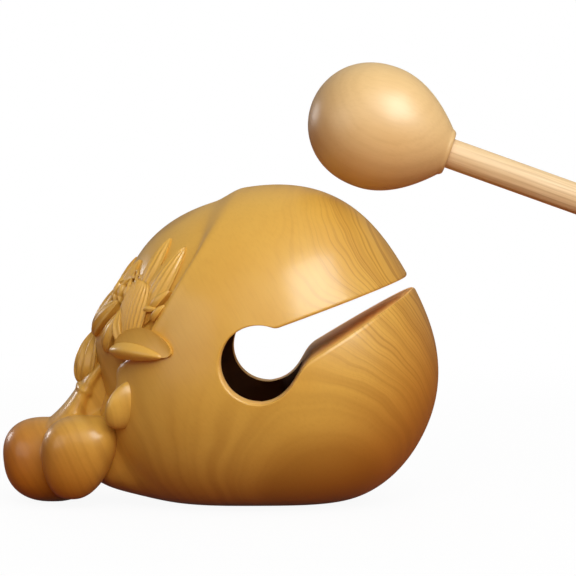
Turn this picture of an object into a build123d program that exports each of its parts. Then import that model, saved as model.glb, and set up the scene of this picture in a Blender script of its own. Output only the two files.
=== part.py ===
from build123d import *
import math
import os

# Carved wooden fish with its striker, in millimetres.
# The fish is one hollowed block: a rounded shell with a round eye bored across it, a mouth sawn from the
# eye to the front, and a lotus with a three-lobed tail knob carved on its back. The striker is a turned
# head glued on a round stick, shown as it is held above the crown.
# +X runs from the tail to the mouth, +Z is up, and the origin is on the floor under the flat of the shell.

# Shell: its radius about the eye every 30 degrees, from straight ahead and over the crown. The hollow keeps
# the wall all round, and stops just ahead of the eye, so that the lips are solid.
outline_radii = (49.8, 47.2, 49.6, 49.1, 49.0, 48.0, 46.5, 52.0, 51.0, 46.0, 49.0, 51.2)
half_width = 43.0
wall = 9.0
chamber_front = 11.0
eye_forward = 3.1
eye_height = 43.1
eye_radius = 10.8

# Mouth, sawn from the eye to the front: the gap between the lips is given at its reach from the eye
mouth_reach = 41.0
upper_lip_rise = 22.9
lip_gap = 4.4
upper_lip_slope = 19.6
lower_lip_slope = 32.2
mouth_corner_radius = 1.5
mouth_overrun = 9.0

# Sunk ground behind the hood, where the lotus is carved
ground_depth = 2.0
ridge_distance = 31.6
ridge_lean = 59.0

# Tail knob: one lobe behind and a cheek on each side, with reach measured back from the eye. The root swells
# from the belly to carry them.
root_reach = 40.1
root_height = 20.5
root_radius = 16.3
knob_reach = 64.5
knob_radius = 12.3
knob_settle = 0.5
cheek_reach = 52.2
cheek_spread = 14.0
cheek_radius = 10.1
cheek_height = 23.8
cheek_lift = 2.8

# Lotus stem, between the blossom and the knob, with the flat panel that it stands on
stem_radius = 2.7
stem_foot_radius = 4.0
stem_top_rise = -2.0
stem_bow = 2.0
panel_half_width = 8.0

# Lotus petals
petal_root = 1.0
petal_crown = 0.5
petal_fullness = 0.75

# Striker
head_length = 42.3
head_radius = 18.2
head_widest = 20.0
collar_radius = 6.9
collar_edge = 1.2
collar_slope = 39.0
stick_radius = 4.35
grip_length = 155.0
socket_depth = 18.0
glue_gap = 0.05
stick_end_round = 2.0
stick_lead = 0.8
striker_tip_forward = 16.4
striker_tip_height = 115.6
striker_slope = 19.7

# Sections of the shell, by their angle from the middle, and the reach of the cutting tools
section_step = 12
section_limit = 84
past_the_body = 20.0
half_space = 300.0

eye = Vector(eye_forward, 0, eye_height)


def side_plane(across):
    """The plane of a lengthwise section, with its origin beside the eye, X ahead and Y up."""
    return Plane(origin=eye + Vector(0, across, 0), x_dir=(1, 0, 0), z_dir=(0, -1, 0))


def ovoid(inset):
    """The rounded shell with every radius smaller by inset, lofted across the fish."""
    sections = []
    turn = 360 / len(outline_radii)
    for angle in range(-section_limit, section_limit + 1, section_step):
        share = math.cos(math.radians(angle))
        across = (half_width - inset) * math.sin(math.radians(angle))
        points = [
            Vector((radius - inset) * share, 0).rotate(Axis.Z, i * turn)
            for i, radius in enumerate(outline_radii)
        ]
        sections.append(side_plane(across) * make_face(Spline(*points, periodic=True)))
    return loft(sections)


def ball(centre, radius):
    """A sphere with its poles across the fish and its seam behind."""
    return Pos(*centre) * Rot(90, 0, 0) * Rot(0, 0, 180) * Sphere(radius)


def capsule(centre, radius, height):
    """An upright rod with round ends, with its seam on the near side."""
    straight = height / 2 - radius
    outline = make_face(
        Line((0, -height / 2), (0, height / 2))
        + RadiusArc((0, height / 2), (radius, straight), radius)
        + Line((radius, straight), (radius, -straight))
        + RadiusArc((radius, -straight), (0, -height / 2), radius)
    )
    plane = Plane(origin=centre, x_dir=(0, -1, 0), z_dir=(1, 0, 0))
    return revolve(plane * outline, Axis(centre, (0, 0, 1)))


def both_sides(shape):
    """A carved piece and its mirror image across the fish."""
    return [shape, mirror(shape, about=Plane.XZ)]


outer = ovoid(0)
ground = ovoid(ground_depth)
ground_skin = max(ground.faces(), key=lambda face: face.area)


def on_ground(swing, rise):
    """Point and outward normal of the sunk ground, swing degrees round from the tail, rise degrees up."""
    flat = math.cos(math.radians(rise))
    way = Vector(
        -flat * math.cos(math.radians(swing)),
        -flat * math.sin(math.radians(swing)),
        math.sin(math.radians(rise)),
    )
    hits = ground_skin.find_intersection_points(Axis(eye, way))
    point, normal = max(hits, key=lambda hit: (hit[0] - eye).dot(way))
    if normal.dot(way) < 0:
        normal = -normal
    return point, normal


def petal(base, tip, width, lifts, thickness=None):
    """A pointed petal from base to tip, each given as (swing, rise), with its lift at base, middle and tip.

    Without a thickness the petal is rooted in the ground along its whole length.
    """
    stations = (0.0, 0.22, 0.5, 0.78, 1.0)
    low, middle, high = lifts
    pull = 2 * middle - (low + high) / 2
    spine = []
    normals = []
    depths = []
    for t in stations:
        swing = base[0] + (tip[0] - base[0]) * t
        rise = base[1] + (tip[1] - base[1]) * t
        point, normal = on_ground(swing, rise)
        lift = low * (1 - t) ** 2 + 2 * pull * t * (1 - t) + high * t**2
        spine.append(point + normal * lift)
        normals.append(normal)
        depths.append(thickness or lift + petal_root)
    sections = [Vertex(*spine[0])]
    for i in range(1, len(stations) - 1):
        share = math.sin(math.pi * stations[i]) ** petal_fullness
        along = (spine[i + 1] - spine[i - 1]).normalized()
        side = along.cross(normals[i]).normalized() * (width / 2 * share)
        up = side.cross(along).normalized()
        left, right = spine[i] - side, spine[i] + side
        crown, keel = spine[i] + up * petal_crown, spine[i] - up * depths[i]
        sections.append(make_face(ThreePointArc(left, crown, right) + Polyline(right, keel, left)))
    sections.append(Vertex(*spine[-1]))
    return loft(sections)


def lotus():
    """The blossom, the long petals behind it, the curled leaves and the buds beside the stem."""
    heart = petal(base=(0, 2), tip=(0, 27), width=15, lifts=(2.0, 5.0, 2.5))
    drooping = petal(base=(0, 10), tip=(0, -8), width=12, lifts=(5.0, 9.5, 10.0), thickness=2.0)
    rear = petal(base=(0, 26), tip=(0, 39), width=8, lifts=(1.0, 2.0, 0.5))
    pieces = [heart, drooping, rear]
    pieces += both_sides(petal(base=(5, 1), tip=(15, 28), width=14, lifts=(1.5, 4.0, 1.5)))
    pieces += both_sides(petal(base=(9, 1), tip=(28, 27), width=12, lifts=(1.0, 3.0, 1.0)))
    pieces += both_sides(petal(base=(14, 26), tip=(18, 38), width=6, lifts=(0.5, 1.6, 0.5)))
    pieces += both_sides(petal(base=(31, 24), tip=(33.7, 47.5), width=6, lifts=(0.5, 1.5, 0.8)))
    pieces += both_sides(petal(base=(35, 16), tip=(47.4, 44), width=8, lifts=(0.5, 1.8, 0.8)))
    pieces += both_sides(petal(base=(39, 19), tip=(46, 26), width=3, lifts=(0.5, 1.0, 0.5)))
    pieces += both_sides(petal(base=(11, 2), tip=(50, 4.5), width=9, lifts=(2.0, 3.4, 2.8)))
    pieces += both_sides(petal(base=(10, -1), tip=(43, 1), width=5.5, lifts=(2.5, 4.2, 3.2)))
    pieces += both_sides(petal(base=(12, -25), tip=(23, -9), width=7.5, lifts=(0.5, 2.0, 0.5)))
    return pieces


def tail():
    """The root of the tail, the three lobes of its knob, and the lotus stem on its panel."""
    knob_centre = Vector(eye_forward - knob_reach, 0, knob_radius - knob_settle)
    cheek_centre = (eye_forward - cheek_reach, -cheek_spread, cheek_lift + cheek_height / 2)
    root_centre = Vector(eye_forward - root_reach, 0, root_height)
    root = ball(root_centre, root_radius)
    knob = ball(knob_centre, knob_radius)
    cheek = capsule(cheek_centre, cheek_radius, cheek_height)
    top = on_ground(0, stem_top_rise)[0]
    foot = knob_centre + Vector(stem_radius, 0, knob_radius - stem_radius)
    bow = (top + foot) * 0.5 + Vector(-stem_bow, 0, stem_bow)
    path = ThreePointArc(top, bow, foot)
    panel = extrude(make_face(path + Polyline(foot, root_centre, top)), amount=panel_half_width, both=True)
    sections = []
    for t in (0.0, 0.5, 1.0):
        radius = stem_radius + (stem_foot_radius - stem_radius) * t
        sections.append(Plane(origin=path @ t, z_dir=path % t) * Circle(radius))
    return [root, knob, panel, loft(sections)] + both_sides(cheek)


def keyhole():
    """The eye and the mouth as one cut across the fish."""
    front = mouth_reach + mouth_overrun
    upper_fall = math.tan(math.radians(upper_lip_slope))
    lower_fall = math.tan(math.radians(lower_lip_slope))
    lower_lip_rise = upper_lip_rise - lip_gap
    mouth = Polygon(
        (0, upper_lip_rise - mouth_reach * upper_fall),
        (0, lower_lip_rise - mouth_reach * lower_fall),
        (front, lower_lip_rise + mouth_overrun * lower_fall),
        (front, upper_lip_rise + mouth_overrun * upper_fall),
        align=None,
    )
    outline = Circle(eye_radius) + mouth
    corners = outline.vertices().sort_by(Axis.X)[:2]
    outline = fillet(corners, mouth_corner_radius)
    return extrude(side_plane(0) * outline, amount=half_width + past_the_body, both=True)


def chamber():
    """The hollow of the shell, with a flat front wall behind the lips."""
    lips = Pos(eye_forward + chamber_front, 0, eye_height) * Box(
        half_space, half_space, half_space, align=(Align.MIN, Align.CENTER, Align.CENTER)
    )
    return ovoid(wall) - lips


def fish():
    """The whole fish: shell and carving, hollowed out, with its keyhole and flat base."""
    lean = math.radians(ridge_lean)
    back = Vector(-math.sin(lean), 0, math.cos(lean))
    ridge = Plane(origin=eye + back * ridge_distance, x_dir=(0, 1, 0), z_dir=back)
    behind = ridge * Box(half_space, half_space, half_space, align=(Align.CENTER, Align.CENTER, Align.MIN))
    hood = outer - behind
    solid = hood + ground
    for lobe in tail():
        solid += lobe
    solid += lotus()
    below = Box(half_space, half_space, half_space, align=(Align.CENTER, Align.CENTER, Align.MAX))
    return solid - chamber() - keyhole() - below


def striker_head():
    """The turned head, along +X from its tip, with a blind socket for the stick."""
    slope = math.radians(collar_slope)
    shoulder = (head_length - collar_edge, collar_radius)
    nose = Spline((0, 0), (head_widest, head_radius), tangents=[(0, 1), (1, 0)])
    back = Spline((head_widest, head_radius), shoulder, tangents=[(1, 0), (math.cos(slope), -math.sin(slope))])
    edge = Line(shoulder, (head_length, collar_radius - collar_edge / 2))
    rest = Polyline((head_length, collar_radius - collar_edge / 2), (head_length, 0), (0, 0))
    turned = revolve(make_face(nose + back + edge + rest), axis=Axis.X)
    socket = Pos(head_length, 0, 0) * Rot(0, -90, 0) * Cylinder(
        stick_radius + glue_gap, socket_depth, align=(Align.CENTER, Align.CENTER, Align.MIN)
    )
    return turned - socket


def striker_handle():
    """The round stick, along +X, glued to the bottom of the socket."""
    length = socket_depth - glue_gap + grip_length
    stick = Pos(head_length - socket_depth + glue_gap, 0, 0) * Rot(0, 90, 0) * Cylinder(
        stick_radius, length, align=(Align.CENTER, Align.CENTER, Align.MIN)
    )
    ends = stick.faces().sort_by(Axis.X)
    stick = chamfer(ends[0].edges(), stick_lead)
    return fillet(stick.faces().sort_by(Axis.X)[-1].edges(), stick_end_round)


held = Pos(striker_tip_forward, 0, striker_tip_height) * Rot(0, striker_slope, 0)
nodes = {
    "fish_body": fish(),
    "striker_head": held * striker_head(),
    "striker_handle": held * striker_handle(),
}

os.makedirs("parts", exist_ok=True)
for name, shape in nodes.items():
    export_step(shape, f"parts/{name}.step")
    print(name, len(shape.solids()), "solid", round(shape.volume / 1000, 2), "cm3")
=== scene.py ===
import bisect
import math

import bpy
from mathutils import Matrix, Vector


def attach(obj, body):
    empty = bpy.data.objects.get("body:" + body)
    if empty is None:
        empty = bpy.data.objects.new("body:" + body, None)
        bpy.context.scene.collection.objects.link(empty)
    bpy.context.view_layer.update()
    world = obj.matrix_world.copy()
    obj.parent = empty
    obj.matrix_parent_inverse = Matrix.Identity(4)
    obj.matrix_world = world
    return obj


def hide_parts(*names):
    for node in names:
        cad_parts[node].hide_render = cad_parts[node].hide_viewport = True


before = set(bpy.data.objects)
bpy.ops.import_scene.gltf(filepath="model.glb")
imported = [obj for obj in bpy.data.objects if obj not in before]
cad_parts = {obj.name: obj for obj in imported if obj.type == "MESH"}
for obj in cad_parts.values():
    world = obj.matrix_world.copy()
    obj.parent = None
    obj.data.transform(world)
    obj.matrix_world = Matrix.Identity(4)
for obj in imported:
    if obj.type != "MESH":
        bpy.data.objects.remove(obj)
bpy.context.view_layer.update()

# Carved wooden fish drum with its striker
# Sizes are in millimetres, angles in degrees, and the meshes in metres. +X runs from the tail to the mouth,
# +Z is up, and most of the fish is measured from the middle of its eye.
metresPerMm = 0.001
weldDistance = 0.002
tiny = 1e-9


def inMetres(place):
    return Vector(place) * metresPerMm


def smoothStep(value):
    value = min(max(value, 0.0), 1.0)
    return value * value * (3 - 2 * value)


def bell(offset, spread):
    return math.exp(-(offset / spread) ** 2)


def deselectAll():
    bpy.ops.object.select_all(action="DESELECT")


def selectOnly(piece):
    deselectAll()
    piece.select_set(True)
    bpy.context.view_layer.objects.active = piece


def closeMesh(piece):
    # joins the meeting edges, turns the faces outwards and shades the skin smooth
    selectOnly(piece)
    bpy.ops.object.mode_set(mode="EDIT")
    bpy.ops.mesh.select_all(action="SELECT")
    bpy.ops.mesh.remove_doubles(threshold=weldDistance * metresPerMm)
    bpy.ops.mesh.normals_make_consistent(inside=False)
    bpy.ops.object.mode_set(mode="OBJECT")
    bpy.ops.object.shade_smooth()


def rolledGrid(name, columns, rows, place):
    # a flat grid whose points are carried one by one to their place on the carved form
    deselectAll()
    bpy.ops.mesh.primitive_grid_add(x_subdivisions=columns, y_subdivisions=rows, size=1)
    piece = bpy.context.object
    piece.name = name
    for point in piece.data.vertices:
        column = round((point.co.x + 0.5) * columns)
        row = round((point.co.y + 0.5) * rows)
        point.co = place(column, row) * metresPerMm
    closeMesh(piece)
    return piece


def joinPieces(name, pieces):
    deselectAll()
    for piece in pieces:
        piece.select_set(True)
    bpy.context.view_layer.objects.active = pieces[0]
    bpy.ops.object.join()
    joined = bpy.context.object
    joined.name = name
    return joined


def applyModifier(piece, kind, settings):
    selectOnly(piece)
    modifier = piece.modifiers.new(kind.lower(), kind)
    for key, value in settings.items():
        setattr(modifier, key, value)
    bpy.ops.object.modifier_apply(modifier=modifier.name)


# Woods

def linear(hexColour):
    channels = []
    for start in (1, 3, 5):
        value = int(hexColour[start:start + 2], 16) / 255
        channels.append(value / 12.92 if value <= 0.04045 else ((value + 0.055) / 1.055) ** 2.4)
    return (*channels, 1.0)


def addNode(tree, kind, settings=None, inputs=None):
    # settings are the node's own values, and inputs are its sockets, linked or set
    node = tree.nodes.new(kind)
    for key, value in (settings or {}).items():
        setattr(node, key, value)
    for key, value in (inputs or {}).items():
        if isinstance(value, bpy.types.NodeSocket):
            tree.links.new(value, node.inputs[key])
        else:
            node.inputs[key].default_value = value
    return node


def newMaterial(name):
    material = bpy.data.materials.new(name)
    material.use_nodes = True
    material.node_tree.nodes.clear()
    return material, material.node_tree


def finishMaterial(tree, shader):
    addNode(tree, "ShaderNodeOutputMaterial", inputs={"Surface": shader.outputs[0]})


# Golden boxwood, carved and varnished: growth rings cut across show as arcs on the flanks and as close
# slanting lines by the mouth, a painted shade turns the colour brown away from the crown, where less light
# falls, and the clear coat gives soft window highlights. The fibre is drawn coarser than the real one, so
# that it shows.
boxwood = {
    "light": "#E2B452",
    "middle": "#D59E3C",
    "dark": "#945812",
    "blotchSize": 26.0,
    # painted shade: the brown that the colour turns to away from the centre above the crown, darkening the
    # belly, the tail and the front edge as shade would
    "paintedShade": "#B05A02",
    "paintedShadeShare": 0.85,
    "paintedShadeCentre": (-14.0, 0, 70.0),
    "paintedShadeReach": (47.0, 86.0),
    "pithPlace": (33.1, -35.0, -11.8),
    "pithWay": (-0.493, 0.349, 0.797),
    "pithReach": 15.0,
    "pithEdge": (1.35, 1.6),
    "pithShare": 0.32,
    "ringWidth": 3.8,
    "ringNarrowing": 90.0,
    "ringShare": 0.22,
    "ringWander": 3.4,
    "wanderSize": 34.0,
    "bandsPerRing": 0.7,
    "bandEdge": (0.36, 0.72),
    "plainPlace": (-8.0, -34.0, 70.0),
    "plainReach": (26.0, 50.0),
    "plainRings": 0.12,
    "finePlace": (38.0, -14.0, 62.0),
    "fineReach": (14.0, 44.0),
    "fineShare": 0.42,
    "finesPerRing": 3.4,
    "fineEdge": (0.45, 0.7),
    "fibreSize": 0.7,
    "fibreShare": 0.08,
    "fibreStretch": 0.08,
    "fibreEdge": (0.45, 0.8),
    "roughness": 0.45,
    "specular": 0.15,
    "coat": 0.36,
    "coatRoughness": 0.23,
    "bump": 0.04,
    "bumpHeight": 0.2,
}
# The same wood where the saw cut the mouth: bare, with neither painted shade nor varnish, and painted far
# paler than the wood as painted light for the slot between the lips, where little light reaches.
sawnBoxwoodPaintedLight = dict(
    boxwood, light="#FFD27C", middle="#FFC868", dark="#8E5820", paintedShadeShare=0.0, fineShare=0.0,
    roughness=0.6, coat=0.0, bump=0.2,
)
# The same wood inside the sound chamber: gouged and never varnished, and painted near black as painted shade
# for the inside of the hollow.
gougedBoxwoodPaintedShade = dict(
    boxwood, light="#5A3312", middle="#46260D", dark="#2A1507", paintedShadeShare=0.0, fineShare=0.0,
    roughness=0.85, specular=0.1, coat=0.0, bump=0.5,
)
# Pale birch turned on a lathe, under a satin varnish: almost no rings, a painted shade that browns the nose
# and the underside, and a soft sheen.
turnedBirch = dict(
    boxwood, light="#F0CE92", middle="#E6BC7A", dark="#B07A3A", paintedShade="#8A4A14", paintedShadeShare=0.5,
    paintedShadeCentre=(44.0, 0, 116.0), paintedShadeReach=(11.0, 36.0),
    pithPlace=(20.0, 30.0, 80.0), pithWay=(0.94, 0.1, -0.33), pithShare=0.0,
    ringShare=0.08, plainRings=1.0, fineShare=0.0, fibreShare=0.1, roughness=0.4, coatRoughness=0.42,
)
# Sanded pine dowel, bare: long straight fibres along the stick, with no gloss.
sandedPine = dict(
    boxwood, light="#F2D6A6", middle="#E6C28C", dark="#A06A30", paintedShadeShare=0.0, fineShare=0.0,
    pithPlace=(16.4, 14.0, 103.0), pithWay=(0.9415, 0.0, -0.3371), pithShare=0.0,
    ringWidth=1.6, ringShare=0.3, ringWander=0.8, plainRings=1.0,
    fibreSize=0.5, fibreShare=0.4, fibreStretch=0.02, roughness=0.6, specular=0.3, coat=0.0, bump=0.25,
)


def fadeFrom(tree, place, centre, reach, near, far):
    # a share that changes smoothly with the distance from a centre
    distance = addNode(tree, "ShaderNodeVectorMath", {"operation": "DISTANCE"}, {
        0: place, 1: inMetres(centre),
    }).outputs["Value"]
    return addNode(tree, "ShaderNodeMapRange", {"interpolation_type": "SMOOTHSTEP"}, {
        "Value": distance,
        "From Min": reach[0] * metresPerMm,
        "From Max": reach[1] * metresPerMm,
        "To Min": near,
        "To Max": far,
    }).outputs[0]


def lateWood(tree, wood, place, pith):
    # share of dark late wood: rings about the pith, the pith itself, and fine lines near one place
    across = addNode(tree, "ShaderNodeVectorMath", {"operation": "MULTIPLY"}, {
        0: pith, 1: (1, 1, 0),
    }).outputs[0]
    reach = addNode(tree, "ShaderNodeVectorMath", {"operation": "LENGTH"}, {0: across}).outputs["Value"]
    wander = addNode(tree, "ShaderNodeTexNoise", inputs={
        "Vector": pith, "Scale": 1 / (wood["wanderSize"] * metresPerMm), "Detail": 2.0,
    }).outputs[0]
    narrowing = addNode(tree, "ShaderNodeMath", {"operation": "MULTIPLY_ADD"}, {
        0: reach,
        1: 1 / (wood["ringNarrowing"] * wood["ringWidth"] * metresPerMm ** 2),
        2: 1 / (wood["ringWidth"] * metresPerMm),
    }).outputs[0]
    evenRings = addNode(tree, "ShaderNodeMath", {"operation": "MULTIPLY"}, {
        0: reach, 1: narrowing,
    }).outputs[0]
    rings = addNode(tree, "ShaderNodeMath", {"operation": "MULTIPLY_ADD"}, {
        0: wander, 1: wood["ringWander"], 2: evenRings,
    }).outputs[0]
    bands = addNode(tree, "ShaderNodeTexNoise", {"noise_dimensions": "1D"}, {
        "W": rings, "Scale": wood["bandsPerRing"], "Detail": 1.5, "Roughness": 0.5,
    }).outputs[0]
    late = addNode(tree, "ShaderNodeMapRange", {"interpolation_type": "SMOOTHSTEP"}, {
        "Value": bands, "From Min": wood["bandEdge"][0], "From Max": wood["bandEdge"][1],
    }).outputs[0]
    wavyReach = addNode(tree, "ShaderNodeMath", {"operation": "MULTIPLY_ADD"}, {
        0: wander, 1: wood["pithReach"] * metresPerMm, 2: reach,
    }).outputs[0]
    pastPith = addNode(tree, "ShaderNodeMapRange", {"interpolation_type": "SMOOTHSTEP"}, {
        "Value": wavyReach,
        "From Min": wood["pithEdge"][0] * wood["pithReach"] * metresPerMm,
        "From Max": wood["pithEdge"][1] * wood["pithReach"] * metresPerMm,
    }).outputs[0]
    ringShare = addNode(tree, "ShaderNodeMath", {"operation": "MULTIPLY"}, {
        0: pastPith, 1: wood["ringShare"],
    }).outputs[0]
    pithTone = addNode(tree, "ShaderNodeMapRange", inputs={
        "Value": pastPith, "To Min": wood["pithShare"], "To Max": 0.0,
    }).outputs[0]
    strength = fadeFrom(tree, place, wood["plainPlace"], wood["plainReach"], wood["plainRings"], 1.0)
    ringTone = addNode(tree, "ShaderNodeMath", {"operation": "MULTIPLY"}, {0: late, 1: ringShare}).outputs[0]
    tone = addNode(tree, "ShaderNodeMath", {"operation": "MULTIPLY_ADD"}, {
        0: ringTone, 1: strength, 2: pithTone,
    }).outputs[0]
    if wood["fineShare"]:
        fine = addNode(tree, "ShaderNodeTexNoise", {"noise_dimensions": "1D"}, {
            "W": rings, "Scale": wood["finesPerRing"], "Detail": 2.0, "Roughness": 0.6,
        }).outputs[0]
        fineLines = addNode(tree, "ShaderNodeMapRange", {"interpolation_type": "SMOOTHSTEP"}, {
            "Value": fine, "From Min": wood["fineEdge"][0], "From Max": wood["fineEdge"][1],
        }).outputs[0]
        fineStrength = fadeFrom(tree, place, wood["finePlace"], wood["fineReach"], wood["fineShare"], 0.0)
        tone = addNode(tree, "ShaderNodeMath", {"operation": "MULTIPLY_ADD"}, {
            0: fineLines, 1: fineStrength, 2: tone,
        }).outputs[0]
    return tone


def woodToneWithPaintedShade(tree, wood, place, pith):
    # colour between the rings: two tones in soft blotches, with a painted shade over them that browns the
    # colour away from its centre
    blotch = addNode(tree, "ShaderNodeTexNoise", inputs={
        "Vector": pith, "Scale": 1 / (wood["blotchSize"] * metresPerMm), "Detail": 3.0,
    }).outputs[0]
    colour = addNode(tree, "ShaderNodeMix", {"data_type": "RGBA"}, {
        0: blotch, 6: linear(wood["light"]), 7: linear(wood["middle"]),
    }).outputs[2]
    # painted shade: the brown grows with the distance, in the side view, from a centre where the light falls
    # fullest
    if wood["paintedShadeShare"]:
        profile = addNode(tree, "ShaderNodeVectorMath", {"operation": "MULTIPLY"}, {
            0: place, 1: (1, 0, 1),
        }).outputs[0]
        paintedShade = fadeFrom(tree, profile, wood["paintedShadeCentre"], wood["paintedShadeReach"], 0.0, wood["paintedShadeShare"])
        colour = addNode(tree, "ShaderNodeMix", {"data_type": "RGBA"}, {
            0: paintedShade, 6: colour, 7: linear(wood["paintedShade"]),
        }).outputs[2]
    return colour


def makeWood(name, wood):
    material, tree = newMaterial(name)
    place = addNode(tree, "ShaderNodeTexCoord").outputs["Object"]
    pith = addNode(tree, "ShaderNodeMapping", {"vector_type": "TEXTURE"}, {
        "Vector": place,
        "Location": inMetres(wood["pithPlace"]),
        "Rotation": Vector(wood["pithWay"]).to_track_quat("Z", "Y").to_euler(),
    }).outputs[0]
    stretched = addNode(tree, "ShaderNodeVectorMath", {"operation": "MULTIPLY"}, {
        0: pith, 1: (1, 1, wood["fibreStretch"]),
    }).outputs[0]
    fibre = addNode(tree, "ShaderNodeTexNoise", inputs={
        "Vector": stretched, "Scale": 1 / (wood["fibreSize"] * metresPerMm), "Detail": 2.0,
    }).outputs[0]
    fibreShare = addNode(tree, "ShaderNodeMapRange", inputs={
        "Value": fibre,
        "From Min": wood["fibreEdge"][0],
        "From Max": wood["fibreEdge"][1],
        "To Min": 0.0,
        "To Max": wood["fibreShare"],
    }).outputs[0]
    ringed = addNode(tree, "ShaderNodeMix", {"data_type": "RGBA"}, {
        0: lateWood(tree, wood, place, pith),
        6: woodToneWithPaintedShade(tree, wood, place, pith),
        7: linear(wood["dark"]),
    }).outputs[2]
    fibred = addNode(tree, "ShaderNodeMix", {"data_type": "RGBA"}, {
        0: fibreShare, 6: ringed, 7: linear(wood["dark"]),
    }).outputs[2]
    bump = addNode(tree, "ShaderNodeBump", inputs={
        "Height": fibre, "Strength": wood["bump"], "Distance": wood["bumpHeight"] * metresPerMm,
    }).outputs[0]
    finishMaterial(tree, addNode(tree, "ShaderNodeBsdfPrincipled", inputs={
        "Base Color": fibred,
        "Roughness": wood["roughness"],
        "Specular IOR Level": wood["specular"],
        "Coat Weight": wood["coat"],
        "Coat Roughness": wood["coatRoughness"],
        "Normal": bump,
    }))
    return material


boxwoodMaterial = makeWood("VarnishedBoxwood", boxwood)
sawnPaintedLightMaterial = makeWood("SawnBoxwoodPaintedLight", sawnBoxwoodPaintedLight)
gougedPaintedShadeMaterial = makeWood("GougedBoxwoodPaintedShade", gougedBoxwoodPaintedShade)
birchMaterial = makeWood("TurnedBirch", turnedBirch)
pineMaterial = makeWood("SandedPine", sandedPine)
print("woods mixed")

# Hollow shell of the fish, with its eye, mouth, hood and sunk ground
shell = {
    # radius about the eye every 30 degrees, from straight ahead and over the crown
    "outlineRadii": (49.8, 47.2, 49.6, 49.1, 49.0, 48.0, 46.5, 52.0, 51.0, 46.0, 49.0, 51.2),
    "halfWidth": 43.0,
    "wall": 9.0,
    "eyeForward": 3.1,
    "eyeHeight": 43.1,
    "eyeRadius": 10.7,
    "eyeBack": 0.5,
    "mouthReach": 41.0,
    "mouthStart": 3.0,
    "upperLipRise": 22.9,
    "lipGap": 4.4,
    "upperLipSlope": 19.6,
    "lowerLipSlope": 32.2,
    "upperBlend": 0.8,
    "lowerBlend": 4.2,
    "lipRound": 1.0,
    "lipSearch": (60.0, -30.0),
    "chamberFront": 11.0,
    "baseRound": 3.0,
    "baseFade": (6.0, 24.0),
    "groundDepth": 2.0,
    "groundEnd": (-26.0, -17.0),
    "ridgeDistance": 30.9,
    "ridgeLean": 59.0,
    "ridgeFade": (28.0, 46.0),
    "ridgeShift": 0.8,
    "ridgeStepLow": 1.3,
    "ridgeStepHigh": 7.0,
    "ridgeBead": 0.2,
    "beadBack": 0.8,
    "beadSpread": 0.9,
    "ridgeKnee": 2.8,
    "kneeHeight": -2.5,
    "kneeSpread": 4.0,
    "rootSwell": 9.0,
    "rootAngle": 212.0,
    "rootSpread": 13.5,
    "rootStart": 46.0,
    "columns": 420,
    "lipCrowding": 0.8,
    "skinRows": 88,
    "rimRound": 0.8,
    "rimSteps": (1.3, 0.8, 0.5, 0.26, 0.1, 0.0),
    "rimReach": 1.8,
    "rimShare": 0.3,
    "wallRows": 5,
    "innerRows": 14,
    "traceSteps": 4000,
    "probeStep": 2.0,
    "probeEnd": 60.0,
    "halvings": 50,
    "sawnBand": 0.15,
    "sawnTilt": 0.3,
}
eye = Vector((shell["eyeForward"], 0, shell["eyeHeight"]))
ridgeLean = math.radians(shell["ridgeLean"])
hoodBack = Vector((-math.sin(ridgeLean), 0, math.cos(ridgeLean)))


def outlineRadius(angle):
    # smooth periodic curve through the measured radii
    radii = shell["outlineRadii"]
    total = 0.0
    for index, radius in enumerate(radii):
        half = (angle - index * math.tau / len(radii)) / 2
        if abs(math.sin(half)) < tiny:
            return radius
        total += radius * math.sin(len(radii) * half) / (len(radii) * math.tan(half))
    return total


def keyholeGap(x, z):
    # distance outside the edge of eye and mouth, negative inside the opening
    upperFall = math.radians(shell["upperLipSlope"])
    lowerFall = math.radians(shell["lowerLipSlope"])
    ahead = x - shell["mouthReach"]
    upper = (z - shell["upperLipRise"] - ahead * math.tan(upperFall)) * math.cos(upperFall)
    lower = (shell["upperLipRise"] - shell["lipGap"] + ahead * math.tan(lowerFall) - z) * math.cos(lowerFall)
    mouth = max(upper, lower, shell["mouthStart"] - x)
    ring = math.hypot(x + shell["eyeBack"], z) - shell["eyeRadius"]
    corner = shell["lowerBlend"] if lower > upper else shell["upperBlend"]
    blend = max(corner - abs(ring - mouth), 0) / corner
    return min(ring, mouth) - blend * blend * corner / 4


def gapAlong(angle, radius):
    return keyholeGap(radius * math.cos(angle), radius * math.sin(angle))


def quarterRound(gap, radius):
    # how far a rounded edge falls away, by the distance from the edge
    if gap >= radius:
        return 0.0
    gap = max(gap, 0.0)
    return radius - math.sqrt(radius ** 2 - (radius - gap) ** 2)


def rootSwell(angle):
    # how far the outline swells where the tail grows from it
    return shell["rootSwell"] * bell(math.degrees(angle) % 360 - shell["rootAngle"], shell["rootSpread"])


def lippedRadius(angle):
    # outline radius with the corners of the lips rounded off
    radius = outlineRadius(angle)
    return radius - quarterRound(gapAlong(angle, radius), shell["lipRound"])


def chamberRadius(angle):
    # the hollow keeps its wall, and stops just ahead of the eye, so that the lips are solid
    radius = outlineRadius(angle) - shell["wall"]
    if math.cos(angle) > 0:
        radius = min(radius, shell["chamberFront"] / math.cos(angle))
    return radius


def keyholeRadius(angle):
    # where a ray from the eye first leaves the opening
    inside, outside = 0.0, shell["probeStep"]
    while gapAlong(angle, outside) < 0 and outside < shell["probeEnd"]:
        inside, outside = outside, outside + shell["probeStep"]
    for _ in range(shell["halvings"]):
        middle = (inside + outside) / 2
        if gapAlong(angle, middle) < 0:
            inside = middle
        else:
            outside = middle
    return inside


def lipAngle(start, end):
    # angle at which the outline meets the edge of the mouth, searched from inside the mouth
    for _ in range(shell["halvings"]):
        middle = (start + end) / 2
        if gapAlong(middle, lippedRadius(middle)) < 0:
            start = middle
        else:
            end = middle
    return end


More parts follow.
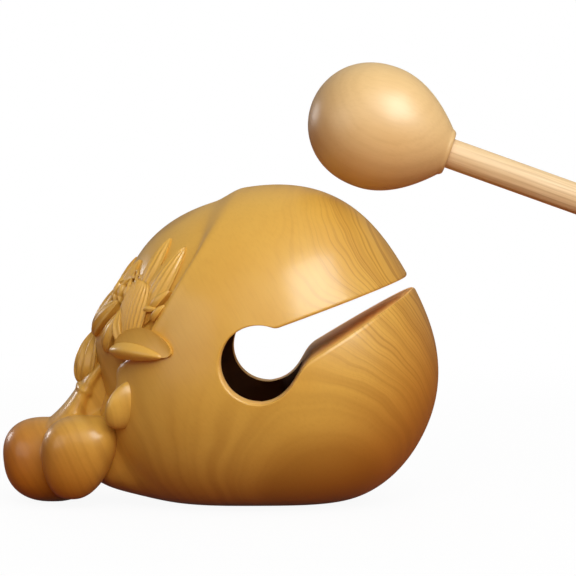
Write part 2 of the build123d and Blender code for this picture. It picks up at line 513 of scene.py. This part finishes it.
def traceCurve(radiusAt, first, last):
    # points of a curve about the eye, with the running length, so that it can be walked by share
    steps = shell["traceSteps"]
    spots = []
    lengths = [0.0]
    for index in range(steps + 1):
        angle = first + (last - first) * index / steps
        spots.append(Vector((math.cos(angle), math.sin(angle))) * radiusAt(angle))
        if index:
            lengths.append(lengths[-1] + (spots[-1] - spots[-2]).length)
    return spots, lengths


def walkCurve(curve, share):
    spots, lengths = curve
    target = share * lengths[-1]
    index = min(max(bisect.bisect_right(lengths, target), 1), len(lengths) - 1)
    step = max(lengths[index] - lengths[index - 1], tiny)
    return spots[index - 1].lerp(spots[index], (target - lengths[index - 1]) / step)


def skinHeight(spot):
    # half the width of the fish over a spot of its middle plane
    angle = math.atan2(spot.y, spot.x)
    radius, swell = lippedRadius(angle), rootSwell(angle)
    start = shell["rootStart"]
    swell *= smoothStep((spot.length - start) / max(radius + swell - start, 0.1))
    ratio = spot.length / (radius + swell)
    return shell["halfWidth"] * math.sqrt(max(0.0, 1 - ratio ** 2))


def chamberHeight(spot):
    ratio = spot.length / chamberRadius(math.atan2(spot.y, spot.x))
    return (shell["halfWidth"] - shell["wall"]) * math.sqrt(max(0.0, 1 - ratio ** 2))


def sinkBehindHood(spot):
    # the ground behind the hood lies lower, with a soft step that gets sharper down the flank
    low, high = shell["ridgeFade"]
    spread = smoothStep((spot.z - low) / (high - low))
    knee = shell["ridgeKnee"] * bell(spot.z - shell["kneeHeight"], shell["kneeSpread"])
    past = spot.dot(hoodBack) - shell["ridgeDistance"] - knee + shell["ridgeShift"] * spread
    width = shell["ridgeStepLow"] + (shell["ridgeStepHigh"] - shell["ridgeStepLow"]) * spread
    bead = shell["ridgeBead"] * (1 - spread) * bell(past + shell["beadBack"], shell["beadSpread"])
    end, start = shell["groundEnd"]
    fade = smoothStep((spot.z - end) / (start - end))
    depth = (shell["groundDepth"] * smoothStep(past / width) - bead) * fade
    return spot * (1 - depth / spot.length)


def softFloor(height):
    return (height + math.sqrt(height ** 2 + shell["baseRound"] ** 2)) / 2


def settleOnFloor(height):
    # the belly is flattened softly, and its lowest place rests on the floor
    lowest = shell["eyeHeight"] - outlineRadius(1.5 * math.pi)
    low, high = shell["baseFade"]
    fade = smoothStep((high - height) / (high - low))
    drop = (softFloor(height) - softFloor(lowest) - height) * fade
    return max(height + drop, 0.0)


def shellRows():
    # rows run round the wall: near skin, near rim, near wall, cavity, and the same again on the far side
    rows = [("skin", index / shell["skinRows"]) for index in range(shell["skinRows"] + 1)]
    rows += [("rim", step) for step in shell["rimSteps"]]
    rows += [("wall", index / shell["wallRows"]) for index in range(1, shell["wallRows"])]
    rows += [("inner", index / shell["innerRows"]) for index in range(shell["innerRows"] + 1)]
    near = [(kind, value, -1) for kind, value in rows]
    far = [(kind, value, 1) for kind, value in reversed(rows)]
    return near + far[1:]


def shellColumns():
    # for each column, the spots of the middle plane that it passes: edge of the keyhole, outline and cavity
    lipMiddle = math.radians((shell["upperLipSlope"] + shell["lowerLipSlope"]) / 2)
    upperEnd, lowerEnd = [lipAngle(lipMiddle, math.radians(end)) for end in shell["lipSearch"]]
    edge = traceCurve(keyholeRadius, upperEnd, lowerEnd + math.tau)
    outline = traceCurve(lambda angle: lippedRadius(angle) + rootSwell(angle), upperEnd, lowerEnd + math.tau)
    shares = []
    for index in range(shell["columns"] + 1):
        even = index / shell["columns"]
        shares.append(even - shell["lipCrowding"] * math.sin(math.tau * even) / math.tau)
    edges = [walkCurve(edge, share) for share in shares]
    hollow = [index for index, spot in enumerate(edges) if chamberHeight(spot) > 0]
    first, last = hollow[0] - 1, hollow[-1] + 1
    firstAngle = math.atan2(edges[first].y, edges[first].x)
    lastAngle = math.atan2(edges[last].y, edges[last].x)
    cavity = traceCurve(chamberRadius, firstAngle, lastAngle + math.tau)
    columns = []
    for index, share in enumerate(shares):
        inner = edges[index]
        if first < index < last:
            inner = walkCurve(cavity, (share - shares[first]) / (shares[last] - shares[first]))
        columns.append((edges[index], walkCurve(outline, share), inner))
    return columns


def alongSkin(height, halfWidth, share):
    # share of the way from the outline to the edge that gives even steps over the curved skin
    tilt = math.asin(min(height / halfWidth, 1.0))
    if tilt < 1e-4:
        return share ** 2
    return (1 - math.cos(tilt * share)) / (1 - math.cos(tilt))


def placeShell(columns, rows):
    def place(column, row):
        edge, outline, inner = columns[column]
        kind, value, side = rows[row]
        length = (outline - edge).length
        reach = min(shell["rimReach"], shell["rimShare"] * length)
        edgeHeight = skinHeight(edge)
        rim = min(shell["rimRound"], edgeHeight / 2)
        spot = edge
        height = 0.0
        if kind == "skin":
            share = alongSkin(edgeHeight, shell["halfWidth"], value)
            spot = outline.lerp(edge, share * (1 - reach / length) if length > 0 else 0.0)
            height = skinHeight(spot) if value > 0 else 0.0
        elif kind == "rim":
            gap = value * reach / shell["rimReach"]
            spot = edge.lerp(outline, gap / length if length > 0 else 0.0)
            height = skinHeight(spot) - quarterRound(gap, rim)
        elif kind == "wall":
            innerHeight = chamberHeight(edge)
            height = (edgeHeight - rim) + (innerHeight - edgeHeight + rim) * value
        elif inner != edge:
            share = alongSkin(chamberHeight(edge), shell["halfWidth"] - shell["wall"], 1 - value)
            spot = inner.lerp(edge, share)
            height = chamberHeight(spot) if value < 1 else 0.0
        point = Vector((spot.x, side * height, spot.y))
        if kind == "skin":
            point = sinkBehindHood(point)
        point += eye
        if kind in ("skin", "rim"):
            point.z = settleOnFloor(point.z)
        return point
    return place


def dressShell(piece):
    # varnish outside, bare sawn wood painted pale as painted light between the lips, and gouged wood painted
    # dark as painted shade in the chamber
    for material in (boxwoodMaterial, sawnPaintedLightMaterial, gougedPaintedShadeMaterial):
        piece.data.materials.append(material)
    for face in piece.data.polygons:
        spot = face.center / metresPerMm - eye
        # the cut faces get the pale painted light, and the inward faces the dark painted shade
        onEdge = abs(keyholeGap(spot.x, spot.z)) < shell["sawnBand"]
        if onEdge and abs(face.normal.y) < shell["sawnTilt"]:
            face.material_index = 1
        elif face.normal.dot(spot) < 0:
            face.material_index = 2


def makeShell():
    rows = shellRows()
    piece = rolledGrid("fishShell", shell["columns"], len(rows) - 1, placeShell(shellColumns(), rows))
    dressShell(piece)
    return piece


fishShell = makeShell()
print("shell", len(fishShell.data.polygons), "faces")

# Tail knob: a lobe behind and a cheek on each side, on the root of the tail, with the lotus stem on a panel
tail = {
    "knobPlace": (-60.0, 0, 12.3),
    "knobSize": (13.2, 13.0, 12.2),
    "knobLean": -0.09,
    "cheekPlace": (-49.9, -14.2, 14.5),
    "cheekSize": (10.3, 10.2, 12.0),
    "cheekTaper": 0.24,
    "cheekLean": 0.18,
    "rootPlace": (-39.0, 0, 17.2),
    "rootSize": (12.0, 14.0, 11.6),
    "squareness": 2.45,
    "lobeSegments": 64,
    "lobeRings": 40,
    "stemTop": (-40.0, 0, 43.8),
    "stemBow": (-48.6, 0, 37.0),
    "stemFoot": (-54.4, 0, 20.0),
    "stemRadius": 2.6,
    "stemFootRadius": 8.4,
    "stemFlare": 5,
    "stemBreadth": 3.2,
    "stemRing": 0.56,
    "stemRingHeight": 0.8,
    "stemRingSpread": 0.03,
    "stemColumns": 32,
    "stemRows": 60,
    "panelHalfWidth": 6.5,
    "panelSteps": 12,
    "voxel": 0.42,
    "smoothing": 5,
}


def tailLobe(place, size, taper=0.0, lean=0.0):
    deselectAll()
    bpy.ops.mesh.primitive_uv_sphere_add(
        segments=tail["lobeSegments"], ring_count=tail["lobeRings"], radius=1,
    )
    lobe = bpy.context.object
    power = tail["squareness"]
    for point in lobe.data.vertices:
        spread = sum(abs(value) ** power for value in point.co) ** (1 / power)
        unit = point.co / spread
        narrow = 1 + taper * unit.z
        point.co = inMetres((
            place[0] + size[0] * (unit.x * narrow + lean * unit.z),
            place[1] + size[1] * unit.y * narrow,
            place[2] + size[2] * unit.z,
        ))
    return lobe


def stemPoint(share):
    top, bow, foot = [Vector(tail[key]) for key in ("stemTop", "stemBow", "stemFoot")]
    middle = top * (1 - share) ** 2 + bow * (2 * share * (1 - share)) + foot * share ** 2
    along = ((bow - top) * (1 - share) + (foot - bow) * share).normalized()
    return middle, along


def tailStem():
    # flat stem that flares into the knob, with one carved ring
    columns, rows = tail["stemColumns"], tail["stemRows"]

    def place(column, row):
        share = row / rows
        middle, along = stemPoint(share)
        radius = breadth = 0.0
        if 0 < row < rows:
            flare = (tail["stemFootRadius"] - tail["stemRadius"]) * share ** tail["stemFlare"]
            ring = tail["stemRingHeight"] * bell(share - tail["stemRing"], tail["stemRingSpread"])
            radius = tail["stemRadius"] + flare + ring
            breadth = radius + tail["stemRadius"] * (tail["stemBreadth"] - 1)
        turn = math.tau * column / columns
        out = along.cross(Vector((0, 1, 0)))
        return middle + out * (radius * math.cos(turn)) + Vector((0, breadth * math.sin(turn), 0))
    return rolledGrid("tailStem", columns, rows, place)


def tailPanel():
    # flat ground under the stem, closed on both sides
    steps = tail["panelSteps"]
    outline = [stemPoint(index / steps)[0] for index in range(steps + 1)]
    outline.append(Vector(tail["rootPlace"]))
    middle = sum(outline, Vector()) / len(outline)

    def place(column, row):
        spot = middle if row in (0, 3) else outline[column % len(outline)]
        across = tail["panelHalfWidth"] * (-1 if row < 2 else 1)
        return Vector((spot.x, across, spot.z))
    return rolledGrid("tailPanel", len(outline), 3, place)


def makeTail():
    x, y, z = tail["cheekPlace"]
    cheekShape = (tail["cheekSize"], tail["cheekTaper"], tail["cheekLean"])
    lobes = [
        tailLobe(tail["knobPlace"], tail["knobSize"], lean=tail["knobLean"]),
        tailLobe(tail["rootPlace"], tail["rootSize"]),
        tailPanel(),
        tailLobe((x, y, z), *cheekShape),
        tailLobe((x, -y, z), *cheekShape),
        tailStem(),
    ]
    knob = joinPieces("tailKnob", lobes)
    applyModifier(knob, "REMESH", {"mode": "VOXEL", "voxel_size": tail["voxel"] * metresPerMm})
    applyModifier(knob, "SMOOTH", {"factor": 0.5, "iterations": tail["smoothing"]})
    closeMesh(knob)
    return knob


tailKnob = makeTail()
print("tail knob", len(tailKnob.data.polygons), "faces")

# Lotus carved on the ground behind the hood, round a heart that swells from it
# Places are (swing, rise): degrees round from the tail and up from the eye. Lifts are heights over the ground
# at the root, the middle and the point.
heart = {
    "height": 5.0,
    "rise": 6.0,
    "spread": (27.0, 15.0),
    "reach": (46.0, 30.0),
    "lift": 0.5,
    "edgeSink": 1.2,
    "skirt": 2.0,
    "floor": 3.0,
    "columns": 80,
    "rows": 34,
}
petalStyle = {
    "bow": 0.0,
    "crown": 0.6,
    "cup": 0.0,
    "grooves": 0,
    "grooveDepth": 0.3,
    "grooveFade": 3.0,
    "root": 0.5,
    "point": 0.75,
    "both": True,
    "topShare": 0.72,
    "underside": 0.9,
    "sunk": 1.0,
    "columns": 44,
    "grooveColumns": 10,
    "rows": 36,
    "spineStep": 0.02,
}
petals = {
    "upperPetal": {
        "base": (32.0, 22), "tip": (33.8, 47.2), "bow": -2.2, "width": 6.8, "lifts": (0.2, 0.7, 0.4),
        "crown": 1.2, "grooves": 4,
    },
    "longPetal": {
        "base": (36.0, 13), "tip": (48.4, 44.4), "bow": -1.6, "width": 9.0, "lifts": (0.2, 0.8, 0.4),
        "crown": 1.3, "grooves": 5,
    },
    "curlTip": {
        "base": (42.0, 18), "tip": (50.6, 26.0), "width": 2.8, "lifts": (1.0, 2.0, 1.4), "crown": 0.8,
    },
    "curlFoot": {
        "base": (44.8, 14.6), "tip": (50.6, 20.6), "width": 2.2, "lifts": (1.6, 2.6, 2.0), "crown": 0.8,
    },
    "ledge": {
        "base": (39.5, 18.3), "tip": (47.6, 19.0), "width": 1.8, "lifts": (1.8, 2.4, 1.4), "crown": 0.5,
    },
    "cupPetal": {
        "base": (33.0, 3), "tip": (34.6, 28.6), "width": 13.0, "lifts": (1.0, 2.2, 1.6), "crown": 1.2,
        "grooves": 9, "grooveDepth": 0.5, "root": 0.45, "point": 0.35,
    },
    "innerTip": {
        "base": (31.5, 4), "tip": (27.0, 17.5), "bow": 1.0, "width": 4.2, "lifts": (1.6, 3.0, 2.2),
        "crown": 1.0, "grooves": 2,
    },
    "glossPetalLow": {
        "base": (20.5, 2), "tip": (27.4, 17), "width": 6.0, "lifts": (1.4, 2.6, 1.8), "crown": 1.4,
        "grooves": 3,
    },
    "glossPetalHigh": {
        "base": (6.0, 7), "tip": (21.5, 20.5), "width": 6.0, "lifts": (1.0, 2.2, 1.6), "crown": 1.4,
        "grooves": 3,
    },
    "sidePetal": {
        "base": (6.0, 6), "tip": (13, 26), "width": 6.0, "lifts": (0.4, 1.2, 0.8), "crown": 0.9,
        "grooves": 3,
    },
    "middlePetal": {
        "base": (0, 4), "tip": (0, 25), "width": 7.5, "lifts": (0.8, 1.6, 1.0), "crown": 1.0,
        "grooves": 4, "both": False,
    },
    "rearPetal": {
        "base": (0, 18), "tip": (0, 37), "width": 8.0, "lifts": (0.2, 0.8, 0.3), "grooves": 5, "both": False,
    },
    "rearSidePetal": {
        "base": (14, 18), "tip": (20, 36.5), "width": 8.0, "lifts": (0.3, 1.0, 0.6), "grooves": 5,
    },
    "droopingPetal": {
        "base": (0, 9.8), "tip": (0, -9.8), "width": 16.0, "lifts": (0.0, 0.7, 5.0), "crown": 6.0,
        "grooves": 7, "grooveDepth": 0.9, "root": 0.9, "point": 0.5, "both": False,
    },
    "leafBlade": {
        "base": (29.0, 4.0), "tip": (56.0, 3.2), "bow": 3.6, "width": 7.4, "lifts": (3.2, 3.4, 2.6),
        "crown": 0.0, "cup": 0.35, "root": 0.5, "point": 0.5,
    },
    "leafRoll": {
        "base": (27.8, 3.0), "tip": (52.4, 2.0), "bow": 0.8, "width": 4.8, "lifts": (3.4, 4.2, 3.0),
        "crown": 2.0, "root": 0.4, "point": 0.6,
    },
    "bud": {
        "base": (28.2, -23.4), "tip": (34.2, -7.2), "width": 8.4, "lifts": (0.4, 0.8, 0.4), "crown": 7.0,
        "root": 0.45, "point": 0.6,
    },
}
stamens = {
    "count": 7,
    "swing": (14.0, 31.0),
    "rise": (19.5, 29.5),
    "sway": 2.0,
    "bow": 3.0,
    "style": {"width": 1.3, "lifts": (1.4, 2.2, 1.2), "crown": 0.5, "columns": 24, "rows": 20},
}
seeds = {
    "places": ((27, 26), (23, 28), (30, 29), (20, 25), (26, 30.5)),
    "radius": 1.1,
    "tube": 0.4,
    "lift": 1.2,
    "segments": (24, 10),
}


def swellAt(swing, rise):
    across, up = heart["spread"]
    return heart["height"] * bell(swing, across) * bell(rise - heart["rise"], up)


def groundPoint(swing, rise):
    # point and outward normal of the sunk ground, with the swelling of the heart
    flat = math.cos(math.radians(rise))
    way = Vector((
        -flat * math.cos(math.radians(swing)),
        -flat * math.sin(math.radians(swing)),
        math.sin(math.radians(rise)),
    ))
    radius = outlineRadius(math.atan2(way.z, way.x)) - shell["groundDepth"]
    width = shell["halfWidth"] - shell["groundDepth"]
    point = way / math.sqrt((math.hypot(way.x, way.z) / radius) ** 2 + (way.y / width) ** 2)
    normal = Vector((point.x / radius ** 2, point.y / width ** 2, point.z / radius ** 2)).normalized()
    return eye + point + normal * swellAt(swing, rise), normal


def petalSpine(style, share):
    base, tip = Vector(style["base"]), Vector(style["tip"])
    way = (tip - base).normalized()
    bowed = base.lerp(tip, share) + Vector((-way.y, way.x)) * (style["bow"] * math.sin(math.pi * share))
    return groundPoint(bowed.x, bowed.y)


def petalBreadth(style, share):
    # full at its widest place, and falling to nothing at the root and the point
    root, point = style["root"], style["point"]
    widest = root / (root + point)
    return (share / widest) ** root * ((1 - share) / (1 - widest)) ** point


def makePetal(name, style, side):
    # columns go over the grooved top from edge to edge, and back along an underside sunk in the ground
    columns = style["columns"] + style["grooveColumns"] * style["grooves"]
    rows, topShare, step = style["rows"], style["topShare"], style["spineStep"]
    low, middle, high = style["lifts"]
    pull = 2 * middle - (low + high) / 2

    def place(column, row):
        share = row / rows
        point, normal = petalSpine(style, share)
        before = petalSpine(style, max(share - step, 0.0))[0]
        after = petalSpine(style, min(share + step, 1.0))[0]
        across = (after - before).cross(normal).normalized()
        full = petalBreadth(style, share) if 0 < row < rows else 0.0
        lift = low * (1 - share) ** 2 + 2 * pull * share * (1 - share) + high * share ** 2
        turn = column / columns
        if turn <= topShare:
            lateral = -math.cos(math.pi * turn / topShare)
            inner = 1 - lateral ** 2
            height = lift + full * (style["crown"] * inner + style["cup"] * lateral ** 2)
            ripple = 0.5 - 0.5 * math.cos(math.pi * style["grooves"] * (lateral + 1))
            fade = min(inner * style["grooveFade"], 1.0) * math.sqrt(full)
            height -= style["grooveDepth"] * ripple * fade
        else:
            lateral = math.cos(math.pi * (turn - topShare) / (1 - topShare))
            inner = math.sqrt(max(0.0, 1 - lateral ** 2))
            edge = lift + full * style["cup"] * lateral ** 2
            height = edge - (edge + style["sunk"]) * inner
            lateral *= style["underside"]
        offset = lateral * full * style["width"] / 2
        sag = offset ** 2 / (2 * (shell["halfWidth"] + lift))
        spot = point + across * offset + normal * (height - sag)
        return Vector((spot.x, spot.y * side, spot.z))
    return rolledGrid(name, columns, rows, place)


def makeHeart():
    # swelling of the ground, sunk into it at its edge and closed underneath
    columns, rows = heart["columns"], heart["rows"]

    def place(column, row):
        turn = math.tau * column / columns
        share = min(row / (rows - 2), 1.0) if row < rows else 0.0
        swing = heart["reach"][0] * share * math.cos(turn)
        rise = heart["rise"] + heart["reach"][1] * share * math.sin(turn)
        point, normal = groundPoint(swing, rise)
        sink = heart["edgeSink"] * share ** 4 - heart["lift"]
        if row == rows - 1:
            sink += heart["skirt"]
        if row == rows:
            sink += swellAt(swing, rise) + heart["floor"]
        return point - normal * sink
    return rolledGrid("flowerHeart", columns, rows, place)


def makeStamens(side):
    pieces = []
    first, last = stamens["swing"]
    low, high = stamens["rise"]
    for index in range(stamens["count"]):
        swing = first + (last - first) * index / (stamens["count"] - 1)
        sway = 1 if index % 2 else -1
        tip = (swing + stamens["sway"] * sway, high - index % 3)
        bow = stamens["bow"] * sway
        style = dict(petalStyle, **stamens["style"], base=(swing, low), tip=tip, bow=bow)
        pieces.append(makePetal(f"stamen{index}", style, side))
    return pieces


def makeSeeds(side):
    # rings of the seed pod, each lying flat on the heart
    pieces = []
    for swing, rise in seeds["places"]:
        point, normal = groundPoint(swing, rise)
        spot = point + normal * seeds["lift"]
        deselectAll()
        bpy.ops.mesh.primitive_torus_add(
            major_segments=seeds["segments"][0], minor_segments=seeds["segments"][1],
            major_radius=seeds["radius"], minor_radius=seeds["tube"],
        )
        ring = bpy.context.object
        tilt = normal.to_track_quat("Z", "Y").to_matrix()
        for vertex in ring.data.vertices:
            turned = tilt @ vertex.co + spot
            vertex.co = inMetres((turned.x, turned.y * side, turned.z))
        closeMesh(ring)
        pieces.append(ring)
    return pieces


def makeLotus():
    pieces = [makeHeart()]
    for side in (1, -1):
        pieces += makeStamens(side)
        pieces += makeSeeds(side)
    for name, own in petals.items():
        style = dict(petalStyle, **own)
        pieces.append(makePetal(name, style, 1))
        if style["both"]:
            pieces.append(makePetal(name, style, -1))
    return joinPieces("lotusCarving", pieces)


lotusCarving = makeLotus()
print("lotus", len(lotusCarving.data.polygons), "faces")

fishPieces = [fishShell, tailKnob, lotusCarving]
for piece in fishPieces:
    if not piece.data.materials:
        piece.data.materials.append(boxwoodMaterial)
    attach(piece, "fish")
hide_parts("fish_body")

# Striker: a turned head on a round stick, lying along +X from its tip and then tilted into the player's hand
striker = {
    "tip": (16.4, 0, 115.6),
    "slope": 19.7,
    "headLength": 42.3,
    "headRadius": 18.2,
    "headWidest": 20.0,
    "noseFullness": 2.2,
    "noseSteps": 40,
    "backSteps": 30,
    "collarRadius": 6.9,
    "collarEdge": 1.2,
    "collarFall": 1.3,
    "collarSteps": 6,
    "socketBite": 0.3,
    "socketDepth": 3.0,
    "stickRadius": 4.35,
    "stickLength": 197.25,
    "stickStart": 24.5,
    "stickSteps": 60,
    "endRound": 2.0,
    "endSteps": 8,
    "spokes": 96,
}
heldWay = Matrix.Rotation(math.radians(striker["slope"]), 3, "Y")


def turnedPiece(name, profile):
    # a lathe profile of (distance from the tip, radius), swept round the stick's line and tilted
    spokes = striker["spokes"]

    def place(column, row):
        reach, radius = profile[row]
        turn = math.tau * column / spokes
        spot = Vector((reach, radius * math.cos(turn), radius * math.sin(turn)))
        return heldWay @ spot + Vector(striker["tip"])
    return rolledGrid(name, spokes, len(profile) - 1, place)


def headProfile():
    # nose, back, chamfered collar, and a socket that bites a little into the stick, so that no gap shows
    profile = []
    length, widest, radius = striker["headLength"], striker["headWidest"], striker["headRadius"]
    collar, chamfer = striker["collarRadius"], striker["collarEdge"]
    for index in range(striker["noseSteps"] + 1):
        share = 1 - math.cos(math.pi / 2 * index / striker["noseSteps"])
        bulge = math.sqrt(max(0.0, 1 - (1 - share) ** striker["noseFullness"]))
        profile.append((widest * share, radius * bulge))
    shoulder = length - chamfer
    for index in range(1, striker["backSteps"] + 1):
        share = index / striker["backSteps"]
        profile.append((widest + (shoulder - widest) * share, collar + (radius - collar) * (1 - share ** 2)))
    for index in range(1, striker["collarSteps"] + 1):
        share = index / striker["collarSteps"]
        ahead = chamfer * math.sin(math.pi / 2 * share)
        profile.append((shoulder + ahead, collar - chamfer * share ** striker["collarFall"]))
    socket = striker["stickRadius"] - striker["socketBite"]
    floor = length - striker["socketDepth"]
    return profile + [(length, socket), (floor, socket), (floor, 0.0)]


def stickProfile():
    radius, end, length = striker["stickRadius"], striker["endRound"], striker["stickLength"]
    start = striker["stickStart"]
    profile = [(start, 0.0), (start, radius)]
    for index in range(1, striker["stickSteps"] + 1):
        profile.append((start + (length - end - start) * index / striker["stickSteps"], radius))
    for index in range(1, striker["endSteps"] + 1):
        turn = math.pi / 2 * index / striker["endSteps"]
        profile.append((length - end + end * math.sin(turn), radius - end * (1 - math.cos(turn))))
    return profile + [(length, 0.0)]


strikerHead = turnedPiece("strikerHeadTurned", headProfile())
strikerStick = turnedPiece("strikerStick", stickProfile())
for piece, node, slot, material in (
    (strikerHead, "striker_head", "turned_head_wood", birchMaterial),
    (strikerStick, "striker_handle", "stick_wood", pineMaterial),
):
    piece.data.materials.append(material)
    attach(piece, "striker")
    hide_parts(node)
print("striker turned")

# Studio: pale floor, soft boxes and the camera of the photograph
studio = {
    "target": (9.6, 0.0, 62.3),
    "distance": 650.0,
    "azimuth": 1.4,
    "elevation": 2.4,
    "lens": 140.0,
    "sensor": 36.0,
    "skyTop": 0.45,
    "skyLow": 0.06,
    "white": "#FFFFFF",
    "glossyShare": 0.05,
    "floorSize": 6.0,
    "floorBounce": "#8A4A1C",
    "floorFade": (250.0, 600.0),
    "floorGlow": 0.93,
}
# Each box is turned to the object, at a distance and with a size in metres. One that doesn't shine shows only
# in the varnish, and one that isn't mirrored only in the shading.
boxStyle = {"distance": 1.0, "size": 0.8, "shines": True, "mirrored": True, "colour": (1, 1, 1)}
windowColour = (0.66, 0.84, 1.0)
softBoxes = {
    "keyBox": {"direction": (0.1, -0.85, 0.47), "energy": 6.6, "mirrored": False},
    "rightBox": {"direction": (0.75, -0.65, 0.1), "energy": 3.5, "mirrored": False},
    "topBox": {"direction": (0.35, -0.5, 0.75), "energy": 1.8, "mirrored": False},
    "slotBox": {"direction": (-0.15, 0.95, 0.25), "energy": 5.0, "mirrored": False},
    "windowBox": {
        "direction": (0.56, -0.6, 0.58), "distance": 0.9, "size": 0.64, "energy": 19.0, "shines": False,
        "colour": windowColour,
    },
    "leftBox": {
        "direction": (-0.75, -0.6, 0.2), "size": 0.7, "energy": 4.2, "shines": False, "colour": windowColour,
    },
    "rearBox": {
        "direction": (-0.76, 0.56, 0.24), "distance": 0.9, "size": 0.2, "energy": 1.5, "shines": False,
    },
}


def hangSoftBox(name, box):
    way = Vector(box["direction"]).normalized()
    light = bpy.data.lights.new(name, "AREA")
    light.size = box["size"]
    light.energy = box["energy"]
    light.color = box["colour"]
    lamp = bpy.data.objects.new(name, light)
    lamp.visible_diffuse = box["shines"]
    lamp.visible_glossy = box["mirrored"]
    lamp.location = inMetres(studio["target"]) + way * box["distance"]
    lamp.rotation_euler = way.to_track_quat("Z", "Y").to_euler()
    bpy.context.scene.collection.objects.link(lamp)


def whiteShare(tree, path):
    # how white the surroundings are: fully to the camera and through glass, in part to the varnish
    seen = addNode(tree, "ShaderNodeMath", {"operation": "MAXIMUM"}, {
        0: path["Is Camera Ray"], 1: path["Is Transmission Ray"],
    }).outputs[0]
    glossy = addNode(tree, "ShaderNodeMath", {"operation": "MULTIPLY"}, {
        0: path["Is Glossy Ray"], 1: studio["glossyShare"],
    }).outputs[0]
    return addNode(tree, "ShaderNodeMath", {"operation": "MAXIMUM"}, {0: seen, 1: glossy}).outputs[0]


def makeFloor():
    # white to the camera, with a faint shadow by the object, and dull to the light that bounces off it
    deselectAll()
    bpy.ops.mesh.primitive_plane_add(size=studio["floorSize"], location=(0, 0, 0))
    floor = bpy.context.object
    floor.name = "studioFloor"
    material, tree = newMaterial("PaleStudioFloor")
    path = addNode(tree, "ShaderNodeLightPath").outputs
    seen = whiteShare(tree, path)
    place = addNode(tree, "ShaderNodeTexCoord").outputs["Object"]
    glowShare = fadeFrom(tree, place, (0, 0, 0), studio["floorFade"], studio["floorGlow"], 1.0)
    white = linear(studio["white"])
    brown = linear(studio["floorBounce"])
    bounce = addNode(tree, "ShaderNodeBsdfDiffuse", inputs={"Color": brown}).outputs[0]
    matt = addNode(tree, "ShaderNodeBsdfDiffuse", inputs={"Color": white}).outputs[0]
    glow = addNode(tree, "ShaderNodeEmission", inputs={"Color": white, "Strength": 1.0}).outputs[0]
    pale = addNode(tree, "ShaderNodeMixShader", inputs={0: glowShare, 1: matt, 2: glow}).outputs[0]
    finishMaterial(tree, addNode(tree, "ShaderNodeMixShader", inputs={0: seen, 1: bounce, 2: pale}))
    floor.data.materials.append(material)


def makeWorld():
    # white to the camera; the light itself comes mostly from above, as from a broad ceiling panel
    world = bpy.data.worlds.new("softStudio")
    world.use_nodes = True
    tree = world.node_tree
    tree.nodes.clear()
    path = addNode(tree, "ShaderNodeLightPath").outputs
    seen = whiteShare(tree, path)
    way = addNode(tree, "ShaderNodeTexCoord").outputs["Generated"]
    height = addNode(tree, "ShaderNodeSeparateXYZ", inputs={0: way}).outputs["Z"]
    sky = addNode(tree, "ShaderNodeMapRange", inputs={
        "Value": height, "To Min": studio["skyLow"], "To Max": studio["skyTop"],
    }).outputs[0]
    strength = addNode(tree, "ShaderNodeMapRange", inputs={
        "Value": seen, "To Min": sky, "To Max": 1.0,
    }).outputs[0]
    background = addNode(tree, "ShaderNodeBackground", inputs={
        "Color": linear(studio["white"]), "Strength": strength,
    })
    addNode(tree, "ShaderNodeOutputWorld", inputs={"Surface": background.outputs[0]})
    bpy.context.scene.world = world


def makeCamera():
    lens = bpy.data.cameras.new("photoCamera")
    lens.lens = studio["lens"]
    lens.sensor_width = studio["sensor"]
    camera = bpy.data.objects.new("photoCamera", lens)
    rise = math.radians(studio["elevation"])
    turn = math.radians(studio["azimuth"])
    back = Vector((math.sin(turn) * math.cos(rise), -math.cos(turn) * math.cos(rise), math.sin(rise)))
    camera.location = inMetres(Vector(studio["target"]) + back * studio["distance"])
    camera.rotation_euler = (math.radians(90) - rise, 0, turn)
    bpy.context.scene.collection.objects.link(camera)
    bpy.context.scene.camera = camera


makeFloor()
makeWorld()
makeCamera()
for name, own in softBoxes.items():
    hangSoftBox(name, dict(boxStyle, **own))
bpy.context.scene.view_settings.view_transform = "Standard"
print("studio ready")
